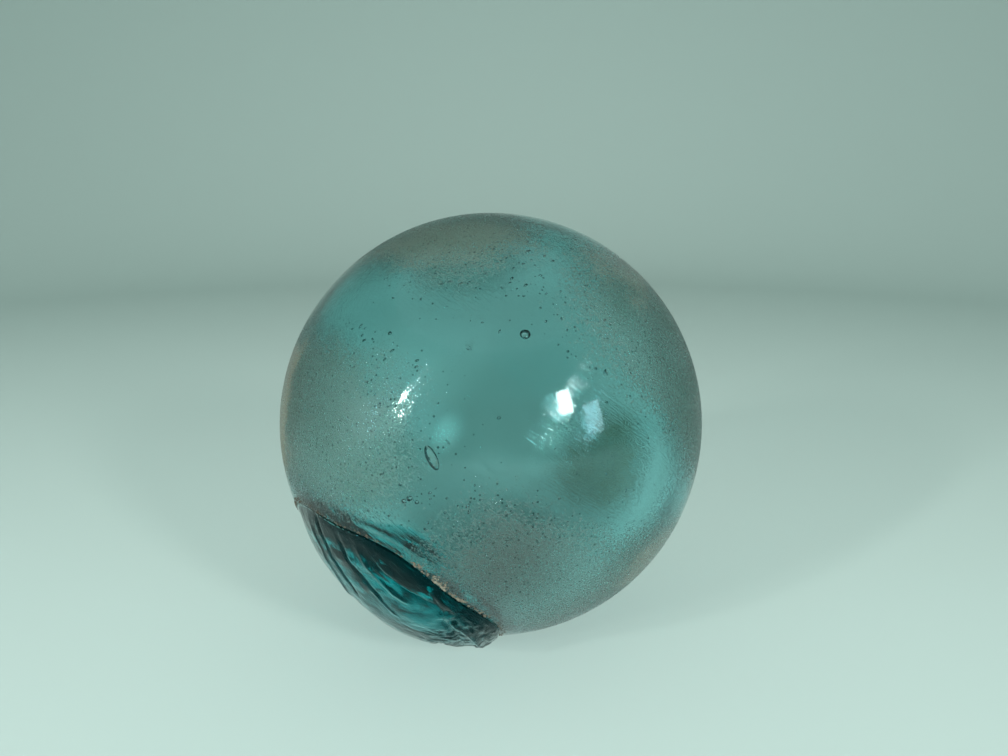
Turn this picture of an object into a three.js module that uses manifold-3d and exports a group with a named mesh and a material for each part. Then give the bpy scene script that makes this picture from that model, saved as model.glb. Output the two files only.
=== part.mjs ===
// Hand-blown glass fishing float: a ball of glass, closed by a gob of darker glass (the seal)
// that was pressed over the hole left by the blowpipe. The float lies on a table, tipped over
// until the lip of its seal also touches down.
//
// Millimetres, +Z up. The origin is the centre of the small flat spot the ball rests on.
// The seal's own frame has its pole on the seal's axis, +Z outwards; +X is the long way of
// the seal, towards its thick lip. A spot on the seal is given by its polar angle at the
// ball's centre and its bearing about the pole, or by arc lengths x and y from the pole.

import * as THREE from 'three';
import { mergeVertices } from 'three/addons/utils/BufferGeometryUtils.js';
import Module from 'manifold-3d';

const wasm = await Module();
wasm.setup();

const degrees = THREE.MathUtils.degToRad;

// ---- driving dimensions -------------------------------------------------------------------

const ballDiameter = 76;
const flatSpotRadius = 5.5;

const sealLean = degrees(46.1); // the seal's axis, away from straight down
const sealBearing = degrees(-134.8); // and its bearing about +Z
const sealTurn = degrees(42.6); // the seal's long way, about its own axis, from downhill
const sealHalfAngle = degrees(33.6); // the seal's mean rim, seen from the ball's centre
const seatDepth = 0.9; // how deep the hot gob sank into the ball
const meltGap = 0.3; // clearance between the two solids

const crownRise = 0.95; // the seal's even swell above the ball
const middleLift = 0.55;
const lipLift = 0.4; // mean height of the rim above the ball
const lipTilt = 0.75; // how much the rim rises towards the thick lip
const lipBearing = degrees(10);

// The rim wavers by shallow lobes, and is a little narrower along the seal's long way.
const rimLobes = 6;
const rimLobeAngle = degrees(0.8);
const rimLobeBearing = degrees(97);
const rimNarrowing = degrees(0.7);

// The rounding of the rim, from the seal's outside down into the seat.
const roundingStart = 0.965; // share of the rim's angle where it starts
const shoulderShare = 0.99; // share of the rim's angle at its shoulder
const shoulderHeight = 0.55; // share of the seal's height that is left there
const shoulderDrop = 0.1;
const rimDepth = 0.35; // how far below the ball's surface the rim goes on

// Drops of thicker glass on the seal: place, reach and rise.
const drops = [
  { x: 7, y: 1, reach: 8.5, rise: 0.9 },
  { x: 5.5, y: 13, reach: 5, rise: 0.45 },
  { x: -9, y: -9, reach: 6, rise: 0.35 },
];

// Folds where the glass thread wound over itself: arcs about a centre, from one bearing to
// another. The lips are the same, stacked close to the rim at the thick end.
const folds = [
  { x: 5, y: 4, radius: 16.5, from: 100, to: 180, rise: 0.6, width: 1.5 },
  { x: 6, y: 6, radius: 11, from: 85, to: 175, rise: 0.5, width: 1.4 },
  { x: 0, y: -2, radius: 13, from: 185, to: 310, rise: 0.5, width: 1.6 },
  { x: 1, y: 0, radius: 18, from: -60, to: 75, rise: 0.5, width: 1.2 },
  { x: 4, y: 0, radius: 11, from: -50, to: 65, rise: 0.45, width: 1.3 },
];

const ballSides = 60;
const ballRings = 24; // between the seat's edge and the far pole
const seatRings = 5;
const sealSides = 96;
const sealRings = 17;
const undersideRings = 4;
const ringCrowding = 0.8; // how far the seal's rings crowd towards its rim
const weldTolerance = 1e-4;

// ---- worked out from them -----------------------------------------------------------------

const ballRadius = ballDiameter / 2;
const centreHeight = Math.sqrt(ballRadius ** 2 - flatSpotRadius ** 2);
const gapAngle = meltGap / ballRadius;

// ---- shape of the seal --------------------------------------------------------------------

// The rim's angle from the seal's axis, at a bearing.
function rimAngle(bearing) {
  const lobes = rimLobeAngle * Math.cos(rimLobes * (bearing - rimLobeBearing));
  return sealHalfAngle + lobes - rimNarrowing * Math.cos(2 * bearing);
}

// 1 on the arc of a fold, fading to both sides and past its ends.
function foldStrength(fold, x, y) {
  const dx = x - fold.x;
  const dy = y - fold.y;
  const offArc = (Math.hypot(dx, dy) - fold.radius) / fold.width;
  const middle = degrees((fold.from + fold.to) / 2);
  const halfSpan = degrees((fold.to - fold.from) / 2);
  const turn = Math.atan2(dy, dx) - middle;
  const pastMiddle = Math.abs(Math.atan2(Math.sin(turn), Math.cos(turn)));
  const alongArc = 1 - THREE.MathUtils.smoothstep(pastMiddle, halfSpan / 2, halfSpan);
  return Math.exp(-(offArc ** 2)) * alongArc;
}

// Height of the seal's outside above the ball's sphere; share is 0 at the pole, 1 at the rim.
function sealHeight(share, bearing) {
  const arc = share * rimAngle(bearing) * ballRadius;
  const x = arc * Math.cos(bearing);
  const y = arc * Math.sin(bearing);
  const rim = lipLift + lipTilt * Math.cos(bearing - lipBearing);
  let height = rim * share + middleLift * (1 - share) + crownRise * (1 - share ** 2);
  for (const drop of drops) {
    const away = Math.hypot(x - drop.x, y - drop.y) / drop.reach;
    height += drop.rise * Math.exp(-(away ** 2));
  }
  for (const fold of folds) {
    height += fold.rise * foldStrength(fold, x, y);
  }
  return height;
}

// ---- solids of revolution about the seal's axis -------------------------------------------

// A closed lathe about +Z whose vertices are then moved in or out and along the meridian.
// place(ring, bearing) gives each vertex's polar angle and its distance from the ball's centre.
function lathedSolid(ringCount, sides, place) {
  const profile = [];
  for (let ring = 0; ring < ringCount; ring += 1) {
    const [polar, distance] = place(ring, 0);
    profile.push(new THREE.Vector2(distance * Math.sin(polar), distance * Math.cos(polar)));
  }
  const geometry = new THREE.LatheGeometry(profile, sides);
  const position = geometry.attributes.position;
  for (let index = 0; index < position.count; index += 1) {
    const side = Math.floor(index / ringCount) % sides;
    const bearing = -(side / sides) * 2 * Math.PI; // clockwise, so that the faces point out
    const [polar, distance] = place(index % ringCount, bearing);
    const across = distance * Math.sin(polar);
    position.setXYZ(
      index,
      across * Math.cos(bearing),
      across * Math.sin(bearing),
      distance * Math.cos(polar),
    );
  }
  return geometry;
}

// The ball, from the pole under the seal to the far pole, with the seat the seal melted into.
function ballPlace(ring, bearing) {
  const edge = rimAngle(bearing) + gapAngle;
  if (ring <= seatRings) {
    return [(ring / seatRings) * edge, ballRadius - seatDepth];
  }
  const share = (ring - seatRings - 1) / ballRings;
  return [edge + share * (Math.PI - edge), ballRadius];
}

// The seal, over its outside from the pole to the rim, then back along its underside.
function sealPlace(ring, bearing) {
  const rim = rimAngle(bearing);
  const bed = ballRadius - seatDepth + meltGap;
  if (ring <= sealRings) {
    const crowded = Math.sin((ring / sealRings) * ringCrowding) / Math.sin(ringCrowding);
    const share = roundingStart * crowded;
    return [share * rim, ballRadius + sealHeight(share, bearing)];
  }
  if (ring === sealRings + 1) {
    const height = shoulderHeight * sealHeight(shoulderShare, bearing) - shoulderDrop;
    return [shoulderShare * rim, ballRadius + height];
  }
  if (ring === sealRings + 2) {
    return [rim, ballRadius - rimDepth];
  }
  const share = 1 - (ring - sealRings - 3) / undersideRings;
  return [shoulderShare * share * rim, bed];
}

// ---- booleans -----------------------------------------------------------------------------

function toManifold(geometry) {
  const bare = geometry.clone();
  bare.deleteAttribute('normal');
  bare.deleteAttribute('uv');
  const merged = mergeVertices(bare, weldTolerance);
  const corners = [];
  for (let first = 0; first < merged.index.count; first += 3) {
    const [a, b, c] = merged.index.array.slice(first, first + 3);
    if (a !== b && b !== c && c !== a) {
      corners.push(a, b, c);
    }
  }
  return new wasm.Manifold(
    new wasm.Mesh({
      numProp: 3,
      vertProperties: new Float32Array(merged.attributes.position.array),
      triVerts: new Uint32Array(corners),
    }),
  );
}

function toGeometry(solid) {
  const mesh = solid.getMesh();
  const geometry = new THREE.BufferGeometry();
  geometry.setAttribute('position', new THREE.BufferAttribute(mesh.vertProperties, 3));
  geometry.setIndex(new THREE.BufferAttribute(mesh.triVerts, 1));
  geometry.computeVertexNormals();
  return geometry;
}

// Everything below the table's level is cut away: the ball's flat spot and the seal's foot.
const belowTable = new THREE.BoxGeometry(4 * ballRadius, 4 * ballRadius, ballRadius);
belowTable.translate(0, 0, -centreHeight - ballRadius / 2);

// Turns a solid from the seal's frame to the part's, and cuts it off at the table.
function standing(geometry) {
  geometry.rotateZ(sealTurn);
  geometry.rotateY(Math.PI - sealLean);
  geometry.rotateZ(sealBearing);
  return toGeometry(toManifold(geometry).subtract(toManifold(belowTable)));
}

// ---- the float ----------------------------------------------------------------------------

function floatBall() {
  const glass = new THREE.MeshStandardMaterial({ color: 0x6fa39c, roughness: 0.3, metalness: 0 });
  const rings = seatRings + 1 + ballRings + 1;
  const mesh = new THREE.Mesh(standing(lathedSolid(rings, ballSides, ballPlace)), glass);
  mesh.name = 'float_ball';
  return mesh;
}

function sealButton() {
  const glass = new THREE.MeshStandardMaterial({ color: 0x1f5f5e, roughness: 0.2, metalness: 0 });
  const rings = sealRings + 1 + 2 + undersideRings + 1;
  const mesh = new THREE.Mesh(standing(lathedSolid(rings, sealSides, sealPlace)), glass);
  mesh.name = 'seal_button';
  return mesh;
}

const group = new THREE.Group();
group.add(floatBall(), sealButton());
group.position.z = centreHeight;

export default group;
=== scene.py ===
"""Looks of the hand-blown glass fishing float.

The ball is hollow glass: an outside, an inside 2.8 mm further in (more under the seal), and
bubbles in the wall between them. The seal is the folded gob of glass melted into a shallow
seat in the ball, and crumbs of lime and dirt are lodged in the seam round it. Lengths are in
millimetres until a mesh is made, and in metres from there on. Angles in tables, and those
that direction() and bubble() take, are in degrees, and all others are in radians.
"""

import math
from typing import NamedTuple

import bpy
import numpy as np
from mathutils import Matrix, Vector, noise


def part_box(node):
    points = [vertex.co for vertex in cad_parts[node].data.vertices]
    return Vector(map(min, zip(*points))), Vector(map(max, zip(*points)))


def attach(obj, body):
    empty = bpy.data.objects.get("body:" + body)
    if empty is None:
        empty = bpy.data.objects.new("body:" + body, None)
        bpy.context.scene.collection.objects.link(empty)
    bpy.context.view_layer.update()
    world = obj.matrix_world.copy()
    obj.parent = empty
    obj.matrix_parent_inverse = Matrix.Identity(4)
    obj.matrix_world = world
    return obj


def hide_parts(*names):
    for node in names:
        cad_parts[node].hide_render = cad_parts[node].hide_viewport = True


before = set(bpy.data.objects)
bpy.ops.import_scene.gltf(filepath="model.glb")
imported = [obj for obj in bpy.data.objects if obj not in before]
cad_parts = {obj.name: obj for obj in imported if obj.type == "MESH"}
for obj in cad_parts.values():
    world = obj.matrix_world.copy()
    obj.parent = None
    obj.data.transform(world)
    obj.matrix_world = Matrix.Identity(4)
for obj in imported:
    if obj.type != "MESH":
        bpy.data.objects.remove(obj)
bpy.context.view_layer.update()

MM = 0.001
rad = math.radians
FULL_TURN = 2 * math.pi

# ---- sizes, from the frame ----------------------------------------------------------------

ball_low, ball_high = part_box("float_ball")
BALL_R = (ball_high.x - ball_low.x + ball_high.y - ball_low.y) / 4 / MM
CENTRE = Vector((0.0, 0.0, ball_high.z - BALL_R * MM))
GROUND = -CENTRE.z / MM  # the table's level, seen from the ball's centre

# ---- the seal's own frame and rim, as the CAD has them ------------------------------------

SEAL_LEAN = rad(46.1)
SEAL_BEARING = rad(-134.8)
SEAL_TURN = rad(42.6)
SEAL_HALF_ANGLE = rad(33.6)
RIM_LOBES = 6
RIM_LOBE_ANGLE = rad(0.8)
RIM_LOBE_BEARING = rad(97)
RIM_NARROWING = rad(0.7)

# The seat is shallower than in the CAD and the seal almost touches it: here they are melted.
SEAT_DEPTH = 0.55
MELT_GAP = 0.015
SEAT_EDGE_INSIDE = 0.03  # how far inside and outside the rim the seat's edge slopes, radians
SEAT_EDGE_OUTSIDE = 0.004
MELT_MARGIN = 0.012  # how far inside the rim the glass counts as melted together, radians


def turned(about, angle):
    c, s = math.cos(angle), math.sin(angle)
    if about == "Y":
        return np.array([[c, 0, s], [0, 1, 0], [-s, 0, c]])
    return np.array([[c, -s, 0], [s, c, 0], [0, 0, 1]])


# Columns: along the seal's long way, across it, and outwards along its axis.
SEAL_AXES = turned("Z", SEAL_BEARING) @ turned("Y", math.pi - SEAL_LEAN) @ turned("Z", SEAL_TURN)


def direction(azimuth, elevation):
    """Unit vector, from degrees; azimuth 0 is towards the camera, 90 to its right."""
    a, e = np.radians(azimuth), np.radians(elevation)
    return np.stack([np.sin(a) * np.cos(e), -np.cos(a) * np.cos(e), np.sin(e)], axis=-1)


def turn_from(middle, bearing):
    """Signed angle from a middle bearing to another, at most half a turn."""
    return np.arctan2(np.sin(bearing - middle), np.cos(bearing - middle))


# ---- noise and fades ----------------------------------------------------------------------


def soft_noise(points, size, seed, octaves=2):
    """Smooth noise, about -1 to 1, whose lumps are about size across."""
    shift = Vector((seed * 17.3, seed * 5.1, seed * 11.7))
    roughness, lacunarity = 1.0, 2.0
    return np.array(
        [
            noise.fractal(Vector(p) / size + shift, roughness, lacunarity, octaves)
            for p in points.tolist()
        ]
    )


def uneven(points, size_and_height, seed, octaves=2):
    size, height = size_and_height
    return height * soft_noise(points, size, seed, octaves)


def smooth(low, high, value):
    t = np.clip((value - low) / (high - low), 0.0, 1.0)
    return t * t * (3 - 2 * t)


def hump(offset, power=2):
    """1 where the offset is 0, fading away on both sides."""
    return np.exp(-(offset**power))


# ---- shape of the seal --------------------------------------------------------------------

CROWN_RISE = 0.95  # the seal's even swell above the ball
MIDDLE_LIFT = 0.55
LIP_LIFT = 0.4  # mean height of the rim above the ball
LIP_TILT = 0.75  # how much the rim rises towards the thick lip
LIP_BEARING = rad(10)


class Drop(NamedTuple):
    """A drop of thicker glass: place along and across the seal, reach and rise."""

    x: float
    y: float
    reach: float
    rise: float


class Fold(NamedTuple):
    """An arc about a centre, from one bearing to another, with a rise and a half-width."""

    x: float
    y: float
    radius: float
    start: float
    end: float
    rise: float
    width: float


DROPS = [Drop(7, 1, 8.5, 0.9), Drop(5.5, 13, 5, 0.45), Drop(-9, -9, 6, 0.35)]

FOLDS = [
    Fold(5, 4, 16.5, 100, 180, 0.18, 1.1),
    Fold(6, 6, 11, 85, 175, 0.14, 1.1),
    Fold(0, -2, 13, 185, 310, 0.3, 1.1),
    Fold(1, 0, 18, -60, 75, 0.45, 0.6),
    Fold(4, 0, 11, -50, 65, 0.2, 0.9),
]

# Finer threads and creases of the wound glass: places along and across the seal, rise (a
# crease is below zero) and half-width.
THREADS = [
    ([(-17.5, 14.0), (-15.3, 12.6), (-10.6, 10.4), (-5.8, 8.2), (-2.5, 5.6)], -0.30, 0.40),
    ([(-18.2, 9.5), (-14.2, 8.8), (-9.5, 6.4), (-6.0, 3.4), (-4.2, 0.0)], 0.22, 0.55),
    ([(-12.8, 17.6), (-8.0, 14.6), (-3.0, 13.4), (0.6, 11.6)], -0.26, 0.38),
    ([(-9.5, 18.8), (-4.0, 17.2), (0.5, 16.2), (4.5, 16.6)], 0.24, 0.45),
    ([(-6.0, 19.6), (-1.0, 18.6), (4.0, 18.4), (9.0, 17.6)], -0.20, 0.35),
    ([(-2.6, 12.8), (-0.6, 11.9), (1.6, 11.1), (4.4, 10.4)], 0.16, 0.30),
    ([(8.6, 15.6), (11.4, 12.6), (13.6, 9.2), (14.6, 5.0), (14.8, 0.6)], -0.34, 0.38),
    ([(10.8, 17.4), (13.8, 14.4), (16.2, 10.4), (17.4, 5.6), (17.6, 0.0)], 0.34, 0.45),
    ([(12.6, 18.0), (16.0, 14.8), (18.6, 10.6), (20.0, 5.0), (20.2, -1.0)], -0.36, 0.34),
    ([(9.4, 19.2), (12.0, 15.6), (14.4, 12.2)], 0.22, 0.36),
    ([(5.6, 19.8), (8.0, 17.6), (9.8, 15.0)], -0.18, 0.32),
    ([(9.0, 6.0), (12.0, 2.4), (12.8, -2.6), (11.2, -8.0)], -0.26, 0.42),
    ([(-3.0, -5.0), (2.0, -8.4), (7.6, -9.0), (12.2, -6.2)], 0.28, 0.55),
    ([(-14.0, -3.0), (-10.0, -9.4), (-3.6, -13.4), (4.0, -14.6)], -0.28, 0.45),
    ([(-17.6, -5.4), (-13.4, -12.2), (-6.0, -17.0), (2.6, -18.2)], 0.26, 0.50),
]
THREAD_FADE_IN = 0.22  # shares of a thread's length
THREAD_FADE_OUT = 0.8


def rim_angle(bearing):
    """The rim's angle from the seal's axis: it wavers, and is narrower along the long way."""
    lobes = RIM_LOBE_ANGLE * np.cos(RIM_LOBES * (bearing - RIM_LOBE_BEARING))
    return SEAL_HALF_ANGLE + lobes - RIM_NARROWING * np.cos(2 * bearing)


def fold_strength(fold, x, y):
    """1 on the arc of a fold, fading to both sides and towards its ends."""
    dx, dy = x - fold.x, y - fold.y
    off_arc = (np.hypot(dx, dy) - fold.radius) / fold.width
    middle = rad((fold.start + fold.end) / 2)
    half_span = rad((fold.end - fold.start) / 2)
    past_middle = np.abs(turn_from(middle, np.arctan2(dy, dx)))
    return hump(off_arc) * (1 - smooth(half_span / 2, half_span, past_middle))


def along_line(places, x, y, steps=14):
    """Distance to a smooth line through some places, and how far along it, 0 to 1."""
    places = np.array(places, dtype=float)
    knots = np.linspace(0, 1, len(places))
    t = np.linspace(0, 1, steps * (len(places) - 1) + 1)
    order = min(3, len(places) - 1)
    line = np.stack([np.polyval(np.polyfit(knots, places[:, i], order), t) for i in (0, 1)], axis=1)
    nearest = np.full(np.shape(x), np.inf)
    share = np.zeros(np.shape(x))
    for value, (px, py) in zip(t, line):
        distance = np.hypot(x - px, y - py)
        closer = distance < nearest
        nearest = np.where(closer, distance, nearest)
        share = np.where(closer, value, share)
    return nearest, share


def thread_height(x, y):
    height = np.zeros(np.shape(x))
    for places, rise, width in THREADS:
        distance, share = along_line(places, x, y)
        taper = smooth(0.0, THREAD_FADE_IN, share) * (1 - smooth(THREAD_FADE_OUT, 1.0, share))
        height += rise * hump(distance / width) * taper
    return height


def seal_height(share, bearing):
    """Height of the seal's outside above the ball; share is 0 at its middle, 1 at its rim."""
    arc = share * rim_angle(bearing) * BALL_R
    x, y = arc * np.cos(bearing), arc * np.sin(bearing)
    rim = LIP_LIFT + LIP_TILT * np.cos(bearing - LIP_BEARING)
    height = rim * share + MIDDLE_LIFT * (1 - share) + CROWN_RISE * (1 - share**2)
    for drop in DROPS:
        height += drop.rise * hump(np.hypot(x - drop.x, y - drop.y) / drop.reach)
    for fold in FOLDS:
        height += fold.rise * fold_strength(fold, x, y)
    return height


def seat_sink(polar, edge):
    """1 on the floor of the seat, 0 outside its edge."""
    return 1 - smooth(edge - SEAT_EDGE_INSIDE, edge + SEAT_EDGE_OUTSIDE, polar)


# ---- meshes -------------------------------------------------------------------------------


def unit_points(polar, bearing):
    """Unit vectors about +Z from angles that broadcast together."""
    polar, bearing = np.broadcast_arrays(polar, bearing)
    across = np.sin(polar)
    return np.stack([across * np.cos(bearing), across * np.sin(bearing), np.cos(polar)], axis=-1)


def polar_points(polar, bearing, distance):
    """Points about the ball's centre, from angles in the seal's frame."""
    return (unit_points(polar, bearing) * distance[..., None]) @ SEAL_AXES.T


def outwards(points):
    """Unit vectors from the ball's centre to points."""
    return points / np.linalg.norm(points, axis=1, keepdims=True)


def lathe_faces(rings, sides, first=0, inward=False):
    """Faces of a closed lathe: one pole point, rings of points, one pole point."""
    faces = []
    last = first + 1 + rings * sides
    for side in range(sides):
        after = (side + 1) % sides
        faces.append((first, first + 1 + side, first + 1 + after))
        for ring in range(rings - 1):
            a = first + 1 + ring * sides
            b = a + sides
            faces.append((a + side, b + side, b + after, a + after))
        a = first + 1 + (rings - 1) * sides
        faces.append((a + side, last, a + after))
    return [face[::-1] for face in faces] if inward else faces


def lathe(polars, sides, distance):
    """Points of a closed lathe about the seal's axis. polars(bearing) gives the rings' angles."""
    bearings = np.arange(sides) * FULL_TURN / sides
    polar = np.stack([polars(b) for b in bearings], axis=1)
    bearing = np.broadcast_to(bearings, polar.shape)
    inner = distance(polar[1:-1], bearing[1:-1])
    body = polar_points(polar[1:-1], bearing[1:-1], inner).reshape(-1, 3)
    no_turn = np.zeros(1)
    poles = [polar_points(end, no_turn, distance(end, no_turn)) for end in (polar[:1, 0], polar[-1:, 0])]
    return np.concatenate([poles[0], body, poles[1]]), len(polar) - 2


def ellipsoid(middle, axes, half_sizes, rings, sides):
    """Points of a closed ellipsoid: one pole point, rings of points, one pole point."""
    polar = np.linspace(0, math.pi, rings + 2)[1:-1, None]
    turns = np.arange(sides) * FULL_TURN / sides
    unit = unit_points(polar, turns[None, :]).reshape(-1, 3)
    unit = np.concatenate([[[0, 0, 1]], unit, [[0, 0, -1]]])
    return (unit * half_sizes) @ np.array(axes) + middle


def new_object(name, points, faces, material):
    """Makes a mesh object from points in metres."""
    mesh = bpy.data.meshes.new(name)
    mesh.from_pydata(points, [], faces)
    mesh.shade_smooth()
    mesh.materials.append(material)
    made = bpy.data.objects.new(name, mesh)
    bpy.context.scene.collection.objects.link(made)
    return made


def new_piece(name, points, faces, attributes, material, stands_for):
    """Makes a piece from points about the ball's centre, in mm, and hands it to the frame."""
    piece = new_object(name, (points * MM + np.array(CENTRE)).tolist(), faces, material)
    for key, values in attributes.items():
        layer = piece.data.attributes.new(key, "FLOAT", "POINT")
        layer.data.foreach_set("value", values.astype(np.float32))
    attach(piece, "root")
    if stands_for:
        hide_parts(stands_for)


# Points this close above the table are pressed towards it.
SETTLED = 0.08


def settle(points):
    """Rests the points on the table, with nothing below it."""
    low = np.maximum(points[:, 2] - GROUND, 0.0)
    points[:, 2] = GROUND + np.where(low < SETTLED, low**2 / (2 * SETTLED), low)
    return points


# ---- the ball -----------------------------------------------------------------------------

WALL = 2.8  # the ball's glass, away from the seal
WALL_AT_SEAL = 2.6  # added under the middle of the seal
WALL_AT_SEAL_REACH = rad(30)

# One lump behind the seal's near rim, on the inside.
LUMP_RISE = 0.9
LUMP_BEARING = rad(88)
LUMP_SPAN = rad(17)
LUMP_ANGLE = rad(35)
LUMP_WIDTH = rad(5.5)

# A thin ridge on the outside, just clear of the seal's near rim.
RIDGE_RISE = 0.16
RIDGE_CLEARANCE = 0.062
RIDGE_WIDTH = 0.011
RIDGE_BEARING = rad(98)
RIDGE_SPAN = rad(16)

# Rings of the outside, as polar angles from the rim: they crowd at the seat's edge.
OUTER_SIDES = 300
SEAT_END = -0.045
EDGE_RINGS = np.array([-0.03, -0.02, -0.012, -0.006, 0.0, 0.006, 0.014, 0.024])
NEAR_START = 0.036
NEAR_END = 0.14
FAR_START = 0.16
SEAT_RINGS = 10
NEAR_RINGS = 10
FAR_RINGS = 140

# Rings of the inside, as polar angles: closer together under the seal.
INNER_SIDES = 180
UNDER_SEAL_END = rad(44)
BEYOND_SEAL_START = rad(45.5)
UNDER_SEAL_RINGS = 56
BEYOND_SEAL_RINGS = 64

# The inside is lumpy under the seal: fully out to the first angle, and no more at the second.
LUMPY_FULL = rad(28)
LUMPY_END = rad(35)

# Unevenness of the glass: size and height of its noise.
OUTSIDE_WAVES = (16.0, 0.028)
INSIDE_WAVES = (20.0, 0.22)
INSIDE_LUMPS = (5.5, 0.45)
INSIDE_PIMPLES = (1.8, 0.07)

# The same for how far the borders of frost and stains wander, and for how the cover varies.
FROST_WANDER = (6.0, 1.5)
STAIN_WANDER = (6.5, 3.6)
COVER_CHANGE = (13.0, 0.28)


class Patch(NamedTuple):
    """A rounded patch on the glass: half-width and half-height in degrees, lean and strength."""

    azimuth: float
    elevation: float
    half_width: float
    half_height: float
    lean: float
    strength: float


# Sand-frosted patches between the clear bands that the net's rope kept covered. The strength
# is how thickly they are covered.
FROST_PATCHES = [
    Patch(-62, 72, 32, 18.5, -7, 1.0),
    Patch(69, 24.5, 37.5, 25, 53, 0.9),
    Patch(-66, 11.5, 46.5, 20.5, -3, 0.88),
    Patch(15, -27.5, 30, 19, 38, 0.64),
    Patch(44, -30, 21, 15, 8, 0.75),
    Patch(131, -26, 20, 19, 0, 0.8),
    Patch(-122, -20, 24, 20, 0, 0.85),
    Patch(-168, 50, 17, 15, 0, 0.9),
    Patch(180, -66, 22, 15, 0, 0.8),
]

# Brown and olive stains, the same way.
STAIN_PATCHES = [
    Patch(134, -31, 15, 12, 20, 1.5),
    Patch(131, -12, 6, 6, 0, 1.5),
    Patch(112, -33, 11, 9, 0, 0.9),
    Patch(-76, 10, 15, 17, 0, 0.7),
    Patch(-16, 66, 24, 10, 0, 0.2),
    Patch(72, 52, 14, 10, 0, 0.4),
    Patch(52, -28, 9, 9, 20, 0.5),
    Patch(-118, -26, 12, 9, 0, 0.8),
    Patch(-160, 52, 9, 8, 0, 0.6),
]

NO_PATCH = -30.0  # depth in mm that stands for far outside every patch
PATCH_CORNERS = 3  # 2 would make a patch an ellipse, more squares its corners


def patch_depth(points, patches):
    """How far inside the nearest patch a point lies, in mm along the glass, and its strength."""
    unit = outwards(points)
    best = np.full(len(points), NO_PATCH)
    weight, total = np.zeros(len(points)), np.zeros(len(points))
    for patch in patches:
        out = direction(patch.azimuth, patch.elevation)
        right = direction(patch.azimuth + 90, 0)
        up = np.cross(right, out)
        angle = np.degrees(np.arccos(np.clip(unit @ out, -1, 1)))
        flat = unit - np.outer(unit @ out, out)
        flat /= np.linalg.norm(flat, axis=1, keepdims=True) + 1e-9
        u, v = angle * (flat @ right), angle * (flat @ up)
        c, s = math.cos(rad(patch.lean)), math.sin(rad(patch.lean))
        u, v = u * c + v * s, v * c - u * s
        across = np.abs(u / patch.half_width) ** PATCH_CORNERS
        upwards = np.abs(v / patch.half_height) ** PATCH_CORNERS
        away = (across + upwards) ** (1 / PATCH_CORNERS)
        depth = (1 - away) * min(patch.half_width, patch.half_height) * rad(1) * BALL_R
        best = np.maximum(best, depth)
        nearness = np.exp(np.clip(depth, -20, 8))
        weight, total = weight + nearness, total + nearness * patch.strength
    return best, total / weight


def outer_polars(bearing):
    edge = rim_angle(bearing)
    seat = np.linspace(0, edge + SEAT_END, SEAT_RINGS)
    near = edge + np.linspace(NEAR_START, NEAR_END, NEAR_RINGS)
    rest = np.linspace(edge + FAR_START, math.pi, FAR_RINGS)
    return np.concatenate([seat, edge + EDGE_RINGS, near, rest])


def outer_distance(polar, bearing):
    """The outside has the seat for the seal in it, and a thin ridge beside the near rim."""
    edge = rim_angle(bearing)
    ridge = RIDGE_RISE * hump((polar - edge - RIDGE_CLEARANCE) / RIDGE_WIDTH)
    ridge = ridge * hump(turn_from(RIDGE_BEARING, bearing) / RIDGE_SPAN, 4)
    return BALL_R - SEAT_DEPTH * seat_sink(polar, edge) + ridge


def inner_polars(_bearing):
    under_seal = np.linspace(0, UNDER_SEAL_END, UNDER_SEAL_RINGS)
    return np.concatenate([under_seal, np.linspace(BEYOND_SEAL_START, math.pi, BEYOND_SEAL_RINGS)])


def inner_distance(polar, bearing):
    """The inside bulges in under the seal, most of all in one lump behind its near rim."""
    thick = WALL + WALL_AT_SEAL * hump(polar / WALL_AT_SEAL_REACH, 6)
    lump = hump(turn_from(LUMP_BEARING, bearing) / LUMP_SPAN)
    lump = lump * hump((polar - LUMP_ANGLE) / LUMP_WIDTH)
    return BALL_R - thick - LUMP_RISE * lump


# Bubbles that show: azimuth, elevation, depth in the wall, length, width, lean.
BUBBLES = [
    (10.1, 36.0, 1.2, 1.6, 1.5, 0),
    (-12.1, 8.7, 1.0, 3.8, 1.6, -62),
    (-27.7, 35.1, 0.8, 0.6, 0.6, 0),
    (2.5, 17.6, 0.8, 0.6, 0.4, 20),
    (-25.8, 18.8, 0.9, 0.8, 0.6, 60),
    (-19.3, 2.2, 0.9, 0.6, 0.5, 0),
    (-17.1, -0.7, 0.8, 1.0, 0.8, 30),
    (-15.5, -1.4, 0.9, 0.7, 0.6, 0),
    (-18.5, -1.6, 1.0, 0.8, 0.8, 0),
    (-8.6, 12.4, 0.6, 0.9, 0.3, -50),
    (18.2, 59.8, 0.5, 1.3, 0.5, 35),
    (43.2, 59.8, 0.5, 0.9, 0.5, -30),
    (12.6, 48.4, 0.5, 0.9, 0.4, 40),
    (19.1, 51.3, 0.6, 0.6, 0.4, 0),
    (-170.0, 12.0, 1.1, 2.2, 1.2, 40),
    (150.0, 35.0, 0.9, 1.2, 0.9, -20),
    (95.0, -8.0, 1.0, 1.6, 0.8, 70),
]
BUBBLE_RINGS = 9
BUBBLE_SIDES = 14
DEEPEST_BUBBLE = 1.1  # across the wall

# Swarms of fine seeds in the glass: azimuth, elevation, spread across and up in degrees, and
# how many.
SWARMS = [
    (14, 52, 13, 9, 34),
    (-2, 47, 12, 3, 12),
    (-38, 34, 9, 5, 14),
    (-24, 22, 5, 12, 16),
    (-12, -2, 10, 4, 16),
    (-2, -8, 9, 5, 14),
    (30, 35, 5, 14, 16),
    (38, 8, 10, 6, 10),
    (140, 10, 30, 20, 14),
    (-140, 20, 30, 20, 14),
]
SEED_RINGS = 3
SEED_SIDES = 7
SEED_LEAN = 40
SEED_LEAN_SPREAD = 25
SEED_WIDTHS = (0.18, 0.42)
SEED_STRETCHES = (1.0, 2.6)
SEED_DEPTHS = (0.3, 0.6)


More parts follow.
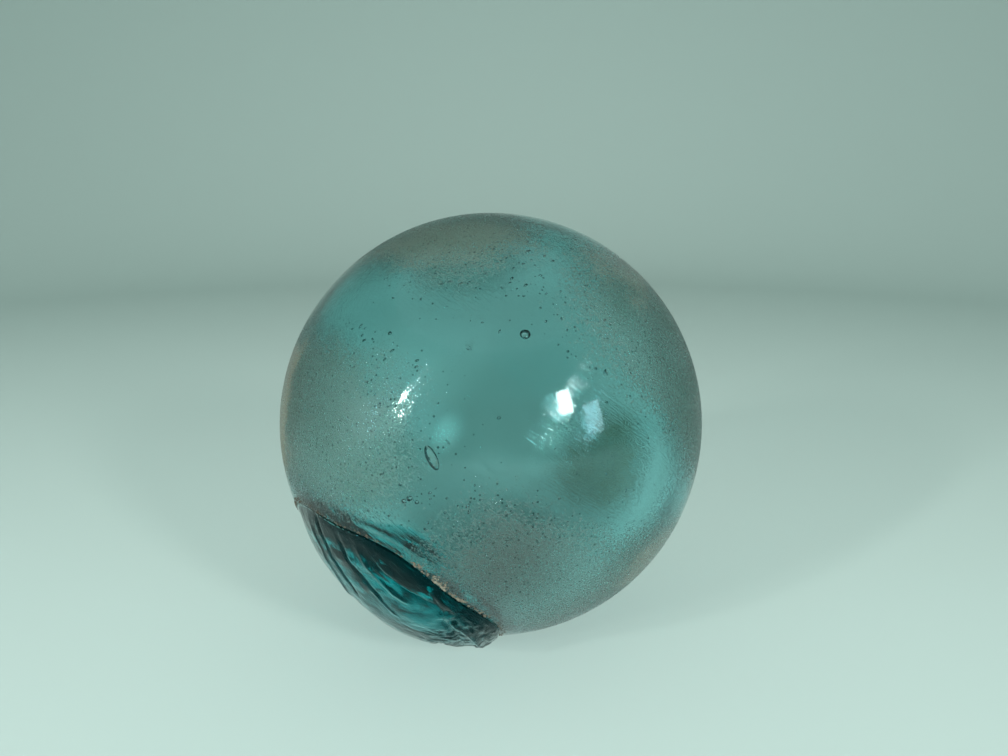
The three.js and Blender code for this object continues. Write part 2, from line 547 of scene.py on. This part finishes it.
def bubble(azimuth, elevation, depth, length, width, lean, rings, sides):
    """A closed hollow in the wall, its long way in the plane of the wall."""
    out = direction(azimuth, elevation)
    right = direction(azimuth + 90, 0)
    down = np.cross(out, right)
    along = right * math.cos(rad(lean)) + down * math.sin(rad(lean))
    across = np.cross(out, along)
    halves = [length / 2, width / 2, min(width, DEEPEST_BUBBLE) / 2]
    return ellipsoid(out * (BALL_R - depth), [along, across, out], halves, rings, sides)


def seed_places():
    """Random places and sizes of the fine seeds, the same in each run."""
    rng = np.random.default_rng(11)
    for azimuth, elevation, across, up, count in SWARMS:
        for _ in range(count):
            lean = SEED_LEAN + rng.normal(0, SEED_LEAN_SPREAD)
            width = rng.uniform(*SEED_WIDTHS)
            length = width * rng.uniform(*SEED_STRETCHES)
            seed_azimuth = azimuth + rng.normal(0, across)
            seed_elevation = elevation + rng.normal(0, up)
            depth = rng.uniform(*SEED_DEPTHS)
            yield seed_azimuth, seed_elevation, depth, length, width, lean


def ball_outside():
    """Points of the outside, very slightly uneven, and how many rings they make."""
    outer, rings = lathe(outer_polars, OUTER_SIDES, outer_distance)
    outer += outwards(outer) * uneven(outer, OUTSIDE_WAVES, seed=1.0)[:, None]
    return settle(outer), rings


def ball_inside():
    """Points of the inside, wavy all over and lumpy under the seal, and how many rings."""
    inner, rings = lathe(inner_polars, INNER_SIDES, inner_distance)
    unit = outwards(inner)
    from_axis = np.arccos(np.clip(unit @ SEAL_AXES[:, 2], -1, 1))
    under_seal = 1 - smooth(LUMPY_FULL, LUMPY_END, from_axis)
    lumps = uneven(inner, INSIDE_LUMPS, seed=12.0) + uneven(inner, INSIDE_PIMPLES, seed=13.0)
    waves = uneven(inner, INSIDE_WAVES, seed=2.0)
    inner += unit * (waves + under_seal * lumps)[:, None]
    return inner, rings


def ball_attributes(outer, count):
    """What the material reads at each point. Only the outside has frost, stains and a seat."""

    def on_outside(values, elsewhere=0.0):
        return np.concatenate([values, np.full(count - len(outer), elsewhere)])

    local = outer @ SEAL_AXES
    along_axis = (outer @ SEAL_AXES[:, 2]) / np.linalg.norm(outer, axis=1)
    from_axis = np.arccos(np.clip(along_axis, -1, 1))
    melted = from_axis < rim_angle(np.arctan2(local[:, 1], local[:, 0])) - MELT_MARGIN
    frost, cover = patch_depth(outer, FROST_PATCHES)
    frost += uneven(outer, FROST_WANDER, seed=5.0, octaves=3)
    cover *= 1 + uneven(outer, COVER_CHANGE, seed=6.0)
    stain, tint = patch_depth(outer, STAIN_PATCHES)
    stain += uneven(outer, STAIN_WANDER, seed=7.0, octaves=3)
    return {
        "frost": on_outside(np.where(melted, NO_PATCH, frost), NO_PATCH),
        "cover": on_outside(cover),
        "stain": on_outside(np.where(melted, NO_PATCH, stain), NO_PATCH),
        "tint": on_outside(tint),
        "melted": on_outside(melted.astype(float)),
    }


def build_ball(material):
    outer, outer_rings = ball_outside()
    parts = [outer]
    faces = lathe_faces(outer_rings, OUTER_SIDES)
    count = len(outer)

    def add_hollow(points, rings, sides):
        nonlocal count, faces
        parts.append(points)
        faces += lathe_faces(rings, sides, count, inward=True)
        count += len(points)

    inner, inner_rings = ball_inside()
    add_hollow(inner, inner_rings, INNER_SIDES)
    for spot in BUBBLES:
        add_hollow(bubble(*spot, BUBBLE_RINGS, BUBBLE_SIDES), BUBBLE_RINGS, BUBBLE_SIDES)
    for spot in seed_places():
        add_hollow(bubble(*spot, SEED_RINGS, SEED_SIDES), SEED_RINGS, SEED_SIDES)

    attributes = ball_attributes(outer, count)
    points = np.concatenate(parts)
    new_piece("float_glass", points, faces, attributes, material, "float_ball")


# ---- the seal -----------------------------------------------------------------------------

SEAL_SIDES = 384
TOP_RINGS = 104
LIP_RINGS = 3
UNDER_RINGS = 14
TOP_CROWDING = 0.9  # under 1: rings crowd towards the rim
TOP_END = 0.985  # share of the rim's angle where the outside ends and the lip begins
ROUNDING_START = 0.93  # share where the outside starts to round over
ROUNDING = 0.45  # share of the height that is lost there
LIP_TUCKS = (0.0, 0.002, 0.008)  # how far inside the rim the lip's rings are, radians
LIP_SHARES = (0.35, 0.12)  # the lip's upper heights, as shares of the height above them
LIP_DROP = 0.1
LIP_THINNEST = 0.05

# Wrinkles grow strong between these places along the seal and across it, on its thick drop.
WRINKLES_ALONG = (6.5, 11)
WRINKLES_ACROSS = (-3, 3)

# Sizes and heights of the seal's noise. The pairs are heights away from the thick drop, and
# what is added on it.
SWELL_SIZE = 4.2
SWELL_HEIGHT = 0.10
WRINKLE_SIZE = 2.3
WRINKLE_HEIGHTS = (0.04, 0.20)
SPECK_SIZE = 1.1
SPECK_HEIGHTS = (0.012, 0.05)
WARP_SIZE = 6.0
WARP = 1.6


def seal_relief(x, y):
    """Fine relief of the seal: wound threads, creases, and wrinkles towards its thick lip."""
    level = np.zeros_like(x)
    flat = np.stack([x, y, level], axis=-1).reshape(-1, 3)
    swirl = np.stack([x * 0.75 + y * 0.45, y * 0.8 - x * 0.35, level], axis=-1).reshape(-1, 3)
    warp = WARP * soft_noise(flat, WARP_SIZE, seed=8.0)[:, None]
    wrinkle = 1 - 2 * np.abs(soft_noise(swirl + warp, WRINKLE_SIZE, seed=9.0))
    on_drop = (smooth(*WRINKLES_ALONG, x) * smooth(*WRINKLES_ACROSS, y)).ravel()
    relief = (WRINKLE_HEIGHTS[0] + WRINKLE_HEIGHTS[1] * on_drop) * wrinkle
    relief += SWELL_HEIGHT * soft_noise(flat, SWELL_SIZE, seed=3.0)
    specks = soft_noise(flat, SPECK_SIZE, seed=4.0)
    relief += (SPECK_HEIGHTS[0] + SPECK_HEIGHTS[1] * on_drop) * specks
    return relief.reshape(x.shape) + thread_height(x, y)


def seal_top(bearings):
    """Points of the seal's outside, from beside its middle to the lip, and their last height."""
    shares = (np.arange(1, TOP_RINGS + 1) / TOP_RINGS) ** TOP_CROWDING * TOP_END
    share, bearing = np.meshgrid(shares, bearings, indexing="ij")
    edge = rim_angle(bearing)
    arc = share * edge * BALL_R
    height = seal_height(share, bearing)
    height += seal_relief(arc * np.cos(bearing), arc * np.sin(bearing))
    height *= 1 - ROUNDING * smooth(ROUNDING_START, TOP_END, share) ** 2
    return polar_points(share * edge, bearing, BALL_R + height), height[-1]


def seal_lip(bearings, edge, height):
    """Points of the lip, which rounds over from the outside down into the seat."""
    polar = np.stack([edge - tuck for tuck in LIP_TUCKS])
    foot = -SEAT_DEPTH * seat_sink(polar[-1], edge) + MELT_GAP
    upper = LIP_SHARES[0] * height
    lower = np.maximum(LIP_SHARES[1] * height - LIP_DROP, foot + LIP_THINNEST)
    return polar_points(polar, bearings, BALL_R + np.stack([upper, lower, foot]))


def seal_underside(bearings, edge):
    share = np.linspace(1, 0, UNDER_RINGS + 1)[:-1, None]
    polar = share * (edge - MELT_MARGIN)
    return polar_points(polar, bearings, BALL_R - SEAT_DEPTH * seat_sink(polar, edge) + MELT_GAP)


def build_seal(material):
    bearings = np.arange(SEAL_SIDES) * FULL_TURN / SEAL_SIDES
    edge = rim_angle(bearings)
    top, height = seal_top(bearings)
    lip = seal_lip(bearings, edge, height)
    under = seal_underside(bearings, edge)
    middle = np.zeros(1)
    top_pole = polar_points(middle, middle, BALL_R + seal_height(middle, middle))
    low_pole = polar_points(middle, middle, np.array([BALL_R - SEAT_DEPTH + MELT_GAP]))
    rings = [ring.reshape(-1, 3) for ring in (top, lip, under)]
    points = settle(np.concatenate([top_pole, *rings, low_pole]))
    melted = np.arange(len(points)) > (TOP_RINGS + LIP_RINGS) * SEAL_SIDES
    faces = lathe_faces(TOP_RINGS + LIP_RINGS + UNDER_RINGS, SEAL_SIDES)
    attributes = {"melted": melted.astype(float)}
    new_piece("seal_glass", points, faces, attributes, material, "seal_button")


# ---- crust in the seam --------------------------------------------------------------------

# Runs of crumbs along the seam: bearings from and to, how many, smallest and largest length,
# how far they spread out over the ball in mm, and how pale they are.
CRUST_RUNS = [
    (46, 58, 30, 0.25, 0.6, 0.5, 0.6),
    (60, 90, 60, 0.25, 0.7, 0.45, 0.45),
    (60, 67, 20, 0.3, 0.75, 0.5, 0.8),
    (71, 79, 45, 0.3, 0.9, 0.7, 0.95),
    (84, 89, 14, 0.3, 0.7, 0.5, 0.7),
    (92, 150, 60, 0.2, 0.45, 0.3, 0.25),
    (150, 180, 50, 0.25, 0.6, 0.6, 0.0),
    (180, 406, 220, 0.2, 0.6, 0.5, 0.35),
]
CRUMB_RINGS = 4
CRUMB_SIDES = 7
CRUMB_CLEARANCE = 0.08  # the least distance from the rim
CRUMB_TWIST = 0.5
CRUMB_WIDTHS = (0.45, 0.8)  # shares of a crumb's length
CRUMB_THICKNESS = 0.38
CRUMB_ROUGHNESS = (-0.35, 0.25)  # how far its points move in or out, as shares
CRUMB_SHRINKAGE = 0.35  # share of its length lost for each mm away from the rim
SHRINKAGE_END = 1.5
TONE_SPREAD = 0.15
CRUMB_LIFT = 0.02  # lowest height above the table
SMALL_STEP = 0.01  # angle to a neighbouring spot, for the directions along the seam


def build_crust(material):
    rng = np.random.default_rng(5)
    parts, faces, pale, count = [], [], [], 0
    for start, end, crumbs, shortest, longest, spread, tone in CRUST_RUNS:
        for _ in range(crumbs):
            bearing = rad(rng.uniform(start, end))
            out_over_ball = abs(rng.normal(0, spread)) + CRUMB_CLEARANCE
            polar = rim_angle(bearing) + out_over_ball / BALL_R
            nearby = np.array([polar, polar + SMALL_STEP])
            here, further = polar_points(nearby, bearing, np.full(2, BALL_R))
            out = here / BALL_R
            away = (further - here) / np.linalg.norm(further - here)
            along = np.cross(away, out)
            twist = rng.normal(0, CRUMB_TWIST)
            long_way = along * math.cos(twist) + away * math.sin(twist)
            short_way = np.cross(out, long_way)
            shrunk = 1 - CRUMB_SHRINKAGE * min(out_over_ball, SHRINKAGE_END)
            length = rng.uniform(shortest, longest) * shrunk
            width = length * rng.uniform(*CRUMB_WIDTHS)
            halves = np.array([length, width, length * CRUMB_THICKNESS]) / 2
            axes = [long_way, short_way, out]
            points = ellipsoid(here, axes, halves, CRUMB_RINGS, CRUMB_SIDES)
            points += (points - here) * rng.uniform(*CRUMB_ROUGHNESS, (len(points), 1))
            parts.append(points)
            faces += lathe_faces(CRUMB_RINGS, CRUMB_SIDES, count)
            pale += [np.clip(tone + rng.normal(0, TONE_SPREAD), 0, 1)] * len(points)
            count += len(points)
    points = np.concatenate(parts)
    points[:, 2] = np.maximum(points[:, 2], GROUND + CRUMB_LIFT)
    new_piece("seam_crust", points, faces, {"pale": np.array(pale)}, material, None)


# ---- materials ----------------------------------------------------------------------------

GLASS_IOR = 1.5
GRAIN_LEAN = (0.0, rad(38), 0.0)
GRAIN_SIZE = 0.24
GRAIN_STRETCH = (1.7, 1.0, 0.9)
SCRATCH_STRETCH = (24.0, 3.0, 1.0)
SCRATCH_FADE = (0.50, 0.64)  # noise that makes a scratch
SCRATCH_ROUGHNESS = 0.05
SCRATCH_HEIGHT = -0.10  # as a share of the bump's depth

# How far the grain breaks up a border, and the depths between which a patch sets in, in mm.
FROST_RAGGED = 20.0
FROST_FADE = (0.0, 2.4)
STAIN_RAGGED = 12.0
STAIN_FADE = (-1.2, 1.4)

CLEAR_ROUGHNESS = 0.012
FROST_ROUGHNESS = (0.24, 0.42)
FROST_DUST = 0.06  # share of the frosted surface that lets no light through
STAIN_DUST = 0.20  # added to it where it is stained


class Nodes:
    """A short way to write a node tree."""

    def __init__(self, name):
        self.material = bpy.data.materials.new(name)
        self.material.use_nodes = True
        self.tree = self.material.node_tree
        self.tree.nodes.clear()

    def add(self, kind, settings=(), **inputs):
        """Adds a node. An input is named as its socket, or i and the socket's number."""
        node = self.tree.nodes.new(kind)
        for key, value in dict(settings).items():
            setattr(node, key, value)
        for key, value in inputs.items():
            numbered = key[0] == "i" and key[1:].isdigit()
            socket = node.inputs[int(key[1:]) if numbered else key.replace("_", " ")]
            if isinstance(value, bpy.types.NodeSocket):
                self.tree.links.new(value, socket)
            else:
                socket.default_value = value
        return node

    def place(self):
        return self.add("ShaderNodeTexCoord").outputs["Object"]

    def attribute(self, name):
        return self.add("ShaderNodeAttribute", {"attribute_name": name}).outputs["Fac"]

    def math(self, operation, a, b, c=0.0):
        settings = {"operation": operation}
        return self.add("ShaderNodeMath", settings, i0=a, i1=b, i2=c).outputs[0]

    def ramp(self, value, low, high, out_low=0.0, out_high=1.0):
        """Goes smoothly from one output to the other as the value goes from low to high."""
        settings = {"interpolation_type": "SMOOTHSTEP"}
        node = self.add(
            "ShaderNodeMapRange", settings, i0=value, i1=low, i2=high, i3=out_low, i4=out_high
        )
        return node.outputs[0]

    def ragged(self, depth, grain, reach):
        """A patch's depth, in mm, moved in and out by the grain so that its border breaks up."""
        return self.math("MULTIPLY_ADD", grain, reach, self.math("SUBTRACT", depth, reach / 2))

    def noise(self, vector, size, detail, lean=None, stretch=None):
        """Noise with lumps of a size in mm, which may be leant and stretched."""
        if stretch:
            settings = {"vector_type": "TEXTURE"}
            mapping = self.add(
                "ShaderNodeMapping", settings, Vector=vector, Rotation=lean, Scale=stretch
            )
            vector = mapping.outputs[0]
        node = self.add("ShaderNodeTexNoise", (), Vector=vector, Scale=1 / (size * MM), Detail=detail)
        return node.outputs[0]

    def mix(self, factor, a, b):
        node = self.add("ShaderNodeMix", {"data_type": "RGBA"}, i0=factor, i6=a, i7=b)
        return node.outputs[2]

    def bump(self, height, strength, depth):
        """A bump of a depth in mm."""
        node = self.add(
            "ShaderNodeBump", (), Strength=strength, Distance=depth * MM, Height=height
        )
        return node.outputs[0]

    def shade(self, **surface):
        return self.add("ShaderNodeBsdfPrincipled", (), **surface)

    def finish(self, shader, volume=None):
        output = self.add("ShaderNodeOutputMaterial", (), Surface=shader.outputs[0])
        if volume:
            self.tree.links.new(volume.outputs[0], output.inputs["Volume"])
        return self.material

    def finish_glass(self, melted, absorption, density, **surface):
        """Glass coloured by depth, which bends no light where it is melted to the other piece."""
        ior = self.math("MULTIPLY_ADD", melted, 1.0 - GLASS_IOR, GLASS_IOR)
        shader = self.shade(IOR=ior, **surface)
        volume = self.add("ShaderNodeVolumeAbsorption", (), Color=absorption, Density=density)
        return self.finish(shader, volume)


def painted_pit_shade(nodes, place, depth):
    """Painted shade of pits: dark specks, thick on a frosted patch and thinning out over the clear glass
    beside it. They stand in for the dark look of the pits' steep sides.
    """
    cell, smallest, growth, soft_edge = 0.62, 0.12, 0.22, 0.06
    thinning_start, thinning_end, most = -7.0, 3.0, 0.62
    cells = nodes.add("ShaderNodeTexVoronoi", (), Vector=place, Scale=1 / (cell * MM))
    chance = nodes.add("ShaderNodeSeparateColor", (), Color=cells.outputs["Color"])
    reach = nodes.math("MULTIPLY_ADD", chance.outputs[1], growth, smallest)
    spot = nodes.math("SUBTRACT", reach, cells.outputs["Distance"])
    crowd = nodes.ramp(depth, thinning_start, thinning_end, 0.0, most)
    present = nodes.math("SUBTRACT", crowd, chance.outputs[0])
    return nodes.math("MULTIPLY", nodes.ramp(spot, 0.0, soft_edge), nodes.ramp(present, 0.0, 0.05))


def aqua_glass():
    clear, frosted, stained = (1.0, 1.0, 1.0, 1), (0.32, 0.43, 0.37, 1), (0.36, 0.235, 0.085, 1)
    # The pit colour is painted shade: a near-black that stands in for the dark look of the pits' steep
    # sides.
    pit_shade_colour, pit_shade_strength = (0.05, 0.07, 0.06, 1), 0.85
    nodes = Nodes("aqua_glass")
    place = nodes.place()
    melted = nodes.attribute("melted")
    depth = nodes.attribute("frost")
    cover = nodes.attribute("cover")
    grain = nodes.noise(place, GRAIN_SIZE, 1.0, GRAIN_LEAN, GRAIN_STRETCH)
    frosting = nodes.ramp(nodes.ragged(depth, grain, FROST_RAGGED), *FROST_FADE)
    frost = nodes.math("MULTIPLY", frosting, cover)
    stain_depth = nodes.ragged(nodes.attribute("stain"), grain, STAIN_RAGGED)
    stain = nodes.math("MULTIPLY", nodes.ramp(stain_depth, *STAIN_FADE), nodes.attribute("tint"))
    pit_shade = painted_pit_shade(nodes, place, depth)
    film = nodes.mix(stain, frosted, stained)
    colour = nodes.mix(frost, clear, film)
    # Painted shade: the pits are darkened in the colour, not by their shape.
    colour = nodes.mix(nodes.math("MULTIPLY", pit_shade, pit_shade_strength), colour, pit_shade_colour)
    dust = nodes.math("MULTIPLY_ADD", stain, STAIN_DUST, FROST_DUST)
    transmission = nodes.math("MULTIPLY_ADD", nodes.math("MULTIPLY", frost, dust), -1.0, 1.0)
    scratch = nodes.noise(place, GRAIN_SIZE, 0.0, GRAIN_LEAN, SCRATCH_STRETCH)
    scratch = nodes.ramp(scratch, *SCRATCH_FADE)
    frost_roughness = nodes.ramp(grain, 0.35, 0.65, *FROST_ROUGHNESS)
    roughness = nodes.math("MULTIPLY_ADD", frost, frost_roughness, CLEAR_ROUGHNESS)
    roughness = nodes.math("MULTIPLY_ADD", scratch, SCRATCH_ROUGHNESS, roughness)
    height = nodes.math("MULTIPLY", grain, nodes.math("MULTIPLY", frost, -1.0))
    height = nodes.math("MULTIPLY_ADD", scratch, SCRATCH_HEIGHT, height)
    return nodes.finish_glass(
        melted, absorption=(0.0, 0.72, 0.74, 1.0), density=190.0,
        Base_Color=colour, Roughness=roughness, Transmission_Weight=transmission,
        Specular_Tint=(0.7, 0.92, 0.94, 1), Normal=nodes.bump(height, strength=0.6, depth=0.12),
    )


def teal_glass():
    nodes = Nodes("deep_teal_glass")
    place = nodes.place()
    melted = nodes.attribute("melted")
    fine = nodes.noise(place, 0.5, 2.0)
    roughness = nodes.ramp(fine, 0.45, 0.75, 0.015, 0.14)
    # The strong tint isn't physical: it keeps the pale floor's reflections from greying the teal.
    return nodes.finish_glass(
        melted, absorption=(0.0, 0.94, 0.944, 1.0), density=1000.0,
        Base_Color=(0.9, 0.97, 0.97, 1), Roughness=roughness, Transmission_Weight=1.0,
        Specular_Tint=(0.04, 0.52, 0.60, 1), Normal=nodes.bump(fine, strength=0.35, depth=0.07),
    )


def crust():
    dark, light, crevice = (0.04, 0.038, 0.026, 1), (0.125, 0.13, 0.10, 1), (0.055, 0.045, 0.03, 1)
    nodes = Nodes("seam_dirt")
    place = nodes.place()
    pale = nodes.attribute("pale")
    crumble = nodes.noise(place, 0.22, 3.0)
    colour = nodes.mix(pale, dark, light)
    colour = nodes.mix(nodes.ramp(crumble, 0.35, 0.65, 0.0, 0.6), colour, crevice)
    bump = nodes.bump(crumble, strength=0.8, depth=0.08)
    return nodes.finish(nodes.shade(Base_Color=colour, Roughness=0.92, Normal=bump))


def paper():
    nodes = Nodes("pale_paper")
    return nodes.finish(nodes.shade(Base_Color=(0.455, 0.575, 0.54, 1), Roughness=0.8))


# ---- stage, in metres ---------------------------------------------------------------------

FLAT_REACH = 0.55
BEND_RADIUS = 0.60
BEND_STEPS = 19
WALL_TOP = 1.45
FLOOR_SIDES = 120

# The camera's place from the ball's centre, in ball radii.
CAMERA_PLACE = (0.06, -3.561, 1.089)
CAMERA_DOWN = rad(13.76)
LENS = 27.0
SENSOR = 36.0

WORLD_COLOUR = (0.80, 0.95, 0.90, 1)
WORLD_STRENGTH = 0.47

DAYLIGHT = (1.0, 0.98, 0.95)
SKYLIGHT = (0.75, 0.9, 1.0)
WINDOW_DISTANCE = 0.62
FRONT_DISTANCE = 1.0

# Small windows: azimuth, elevation, width, height, watts and colour.
WINDOWS = {
    "window_right": (39, 22, 0.075, 0.115, 1.4, DAYLIGHT),
    "window_far_right": (53, 12, 0.10, 0.15, 0.36, SKYLIGHT),
    "window_left": (-46, 23, 0.035, 0.06, 0.9, DAYLIGHT),
    "window_left_low": (-45, 15, 0.03, 0.04, 0.6, DAYLIGHT),
    "window_left_soft": (-62, 9, 0.10, 0.14, 0.5, SKYLIGHT),
}


def add_floor():
    """A pale floor that curves up, well away on all sides, into a plain pale wall."""
    bend = np.radians(np.linspace(0, 90, BEND_STEPS))
    across = FLAT_REACH + BEND_RADIUS * np.sin(bend)
    up = BEND_RADIUS - BEND_RADIUS * np.cos(bend)
    profile = [*zip(across, up), (FLAT_REACH + BEND_RADIUS, WALL_TOP)]
    points = [(0.0, 0.0, 0.0)]
    for reach, z in profile:
        for side in range(FLOOR_SIDES):
            turn = side * FULL_TURN / FLOOR_SIDES
            points.append((reach * math.cos(turn), reach * math.sin(turn), z))
    faces = []
    for side in range(FLOOR_SIDES):
        after = (side + 1) % FLOOR_SIDES
        faces.append((0, 1 + side, 1 + after))
        for ring in range(len(profile) - 1):
            a = 1 + ring * FLOOR_SIDES
            b = a + FLOOR_SIDES
            faces.append((a + side, b + side, b + after, a + after))
    floor = new_object("floor", points, faces, paper())


def add_light(name, azimuth, elevation, width, height, watts, colour, away=WINDOW_DISTANCE):
    """A rectangular light that faces the ball and that the camera doesn't see."""
    data = bpy.data.lights.new(name, "AREA")
    data.shape = "RECTANGLE"
    data.size = width
    data.size_y = height
    data.energy = watts
    data.color = colour
    light = bpy.data.objects.new(name, data)
    light.location = CENTRE + Vector(direction(azimuth, elevation).tolist()) * away
    light.rotation_euler = (CENTRE - light.location).to_track_quat("-Z", "Y").to_euler()
    light.visible_camera = False
    bpy.context.scene.collection.objects.link(light)
    return light


def add_lights():
    for name, window in WINDOWS.items():
        add_light(name, *window)
    # A large soft light from the front, which shows in no reflection.
    front = add_light("front_soft", -3, 15, 0.26, 0.22, 3.9, (1.0, 1.0, 1.0), FRONT_DISTANCE)
    front.data.spread = rad(80)
    front.visible_glossy = False
    front.visible_transmission = False


def add_world():
    world = bpy.data.worlds.new("studio")
    world.use_nodes = True
    background = world.node_tree.nodes["Background"]
    background.inputs["Color"].default_value = WORLD_COLOUR
    background.inputs["Strength"].default_value = WORLD_STRENGTH
    bpy.context.scene.world = world


def add_camera():
    """Low and close, looking a little down on the ball."""
    data = bpy.data.cameras.new("camera")
    data.lens = LENS
    data.sensor_width = SENSOR
    data.clip_start = 0.005
    data.clip_end = 50.0
    camera = bpy.data.objects.new("camera", data)
    camera.location = CENTRE + Vector(CAMERA_PLACE) * BALL_R * MM
    camera.rotation_euler = (math.pi / 2 - CAMERA_DOWN, 0, 0)
    bpy.context.scene.collection.objects.link(camera)
    bpy.context.scene.camera = camera


build_ball(aqua_glass())
build_seal(teal_glass())
build_crust(crust())
add_floor()
add_world()
add_lights()
add_camera()
bpy.context.scene.view_settings.view_transform = "Standard"
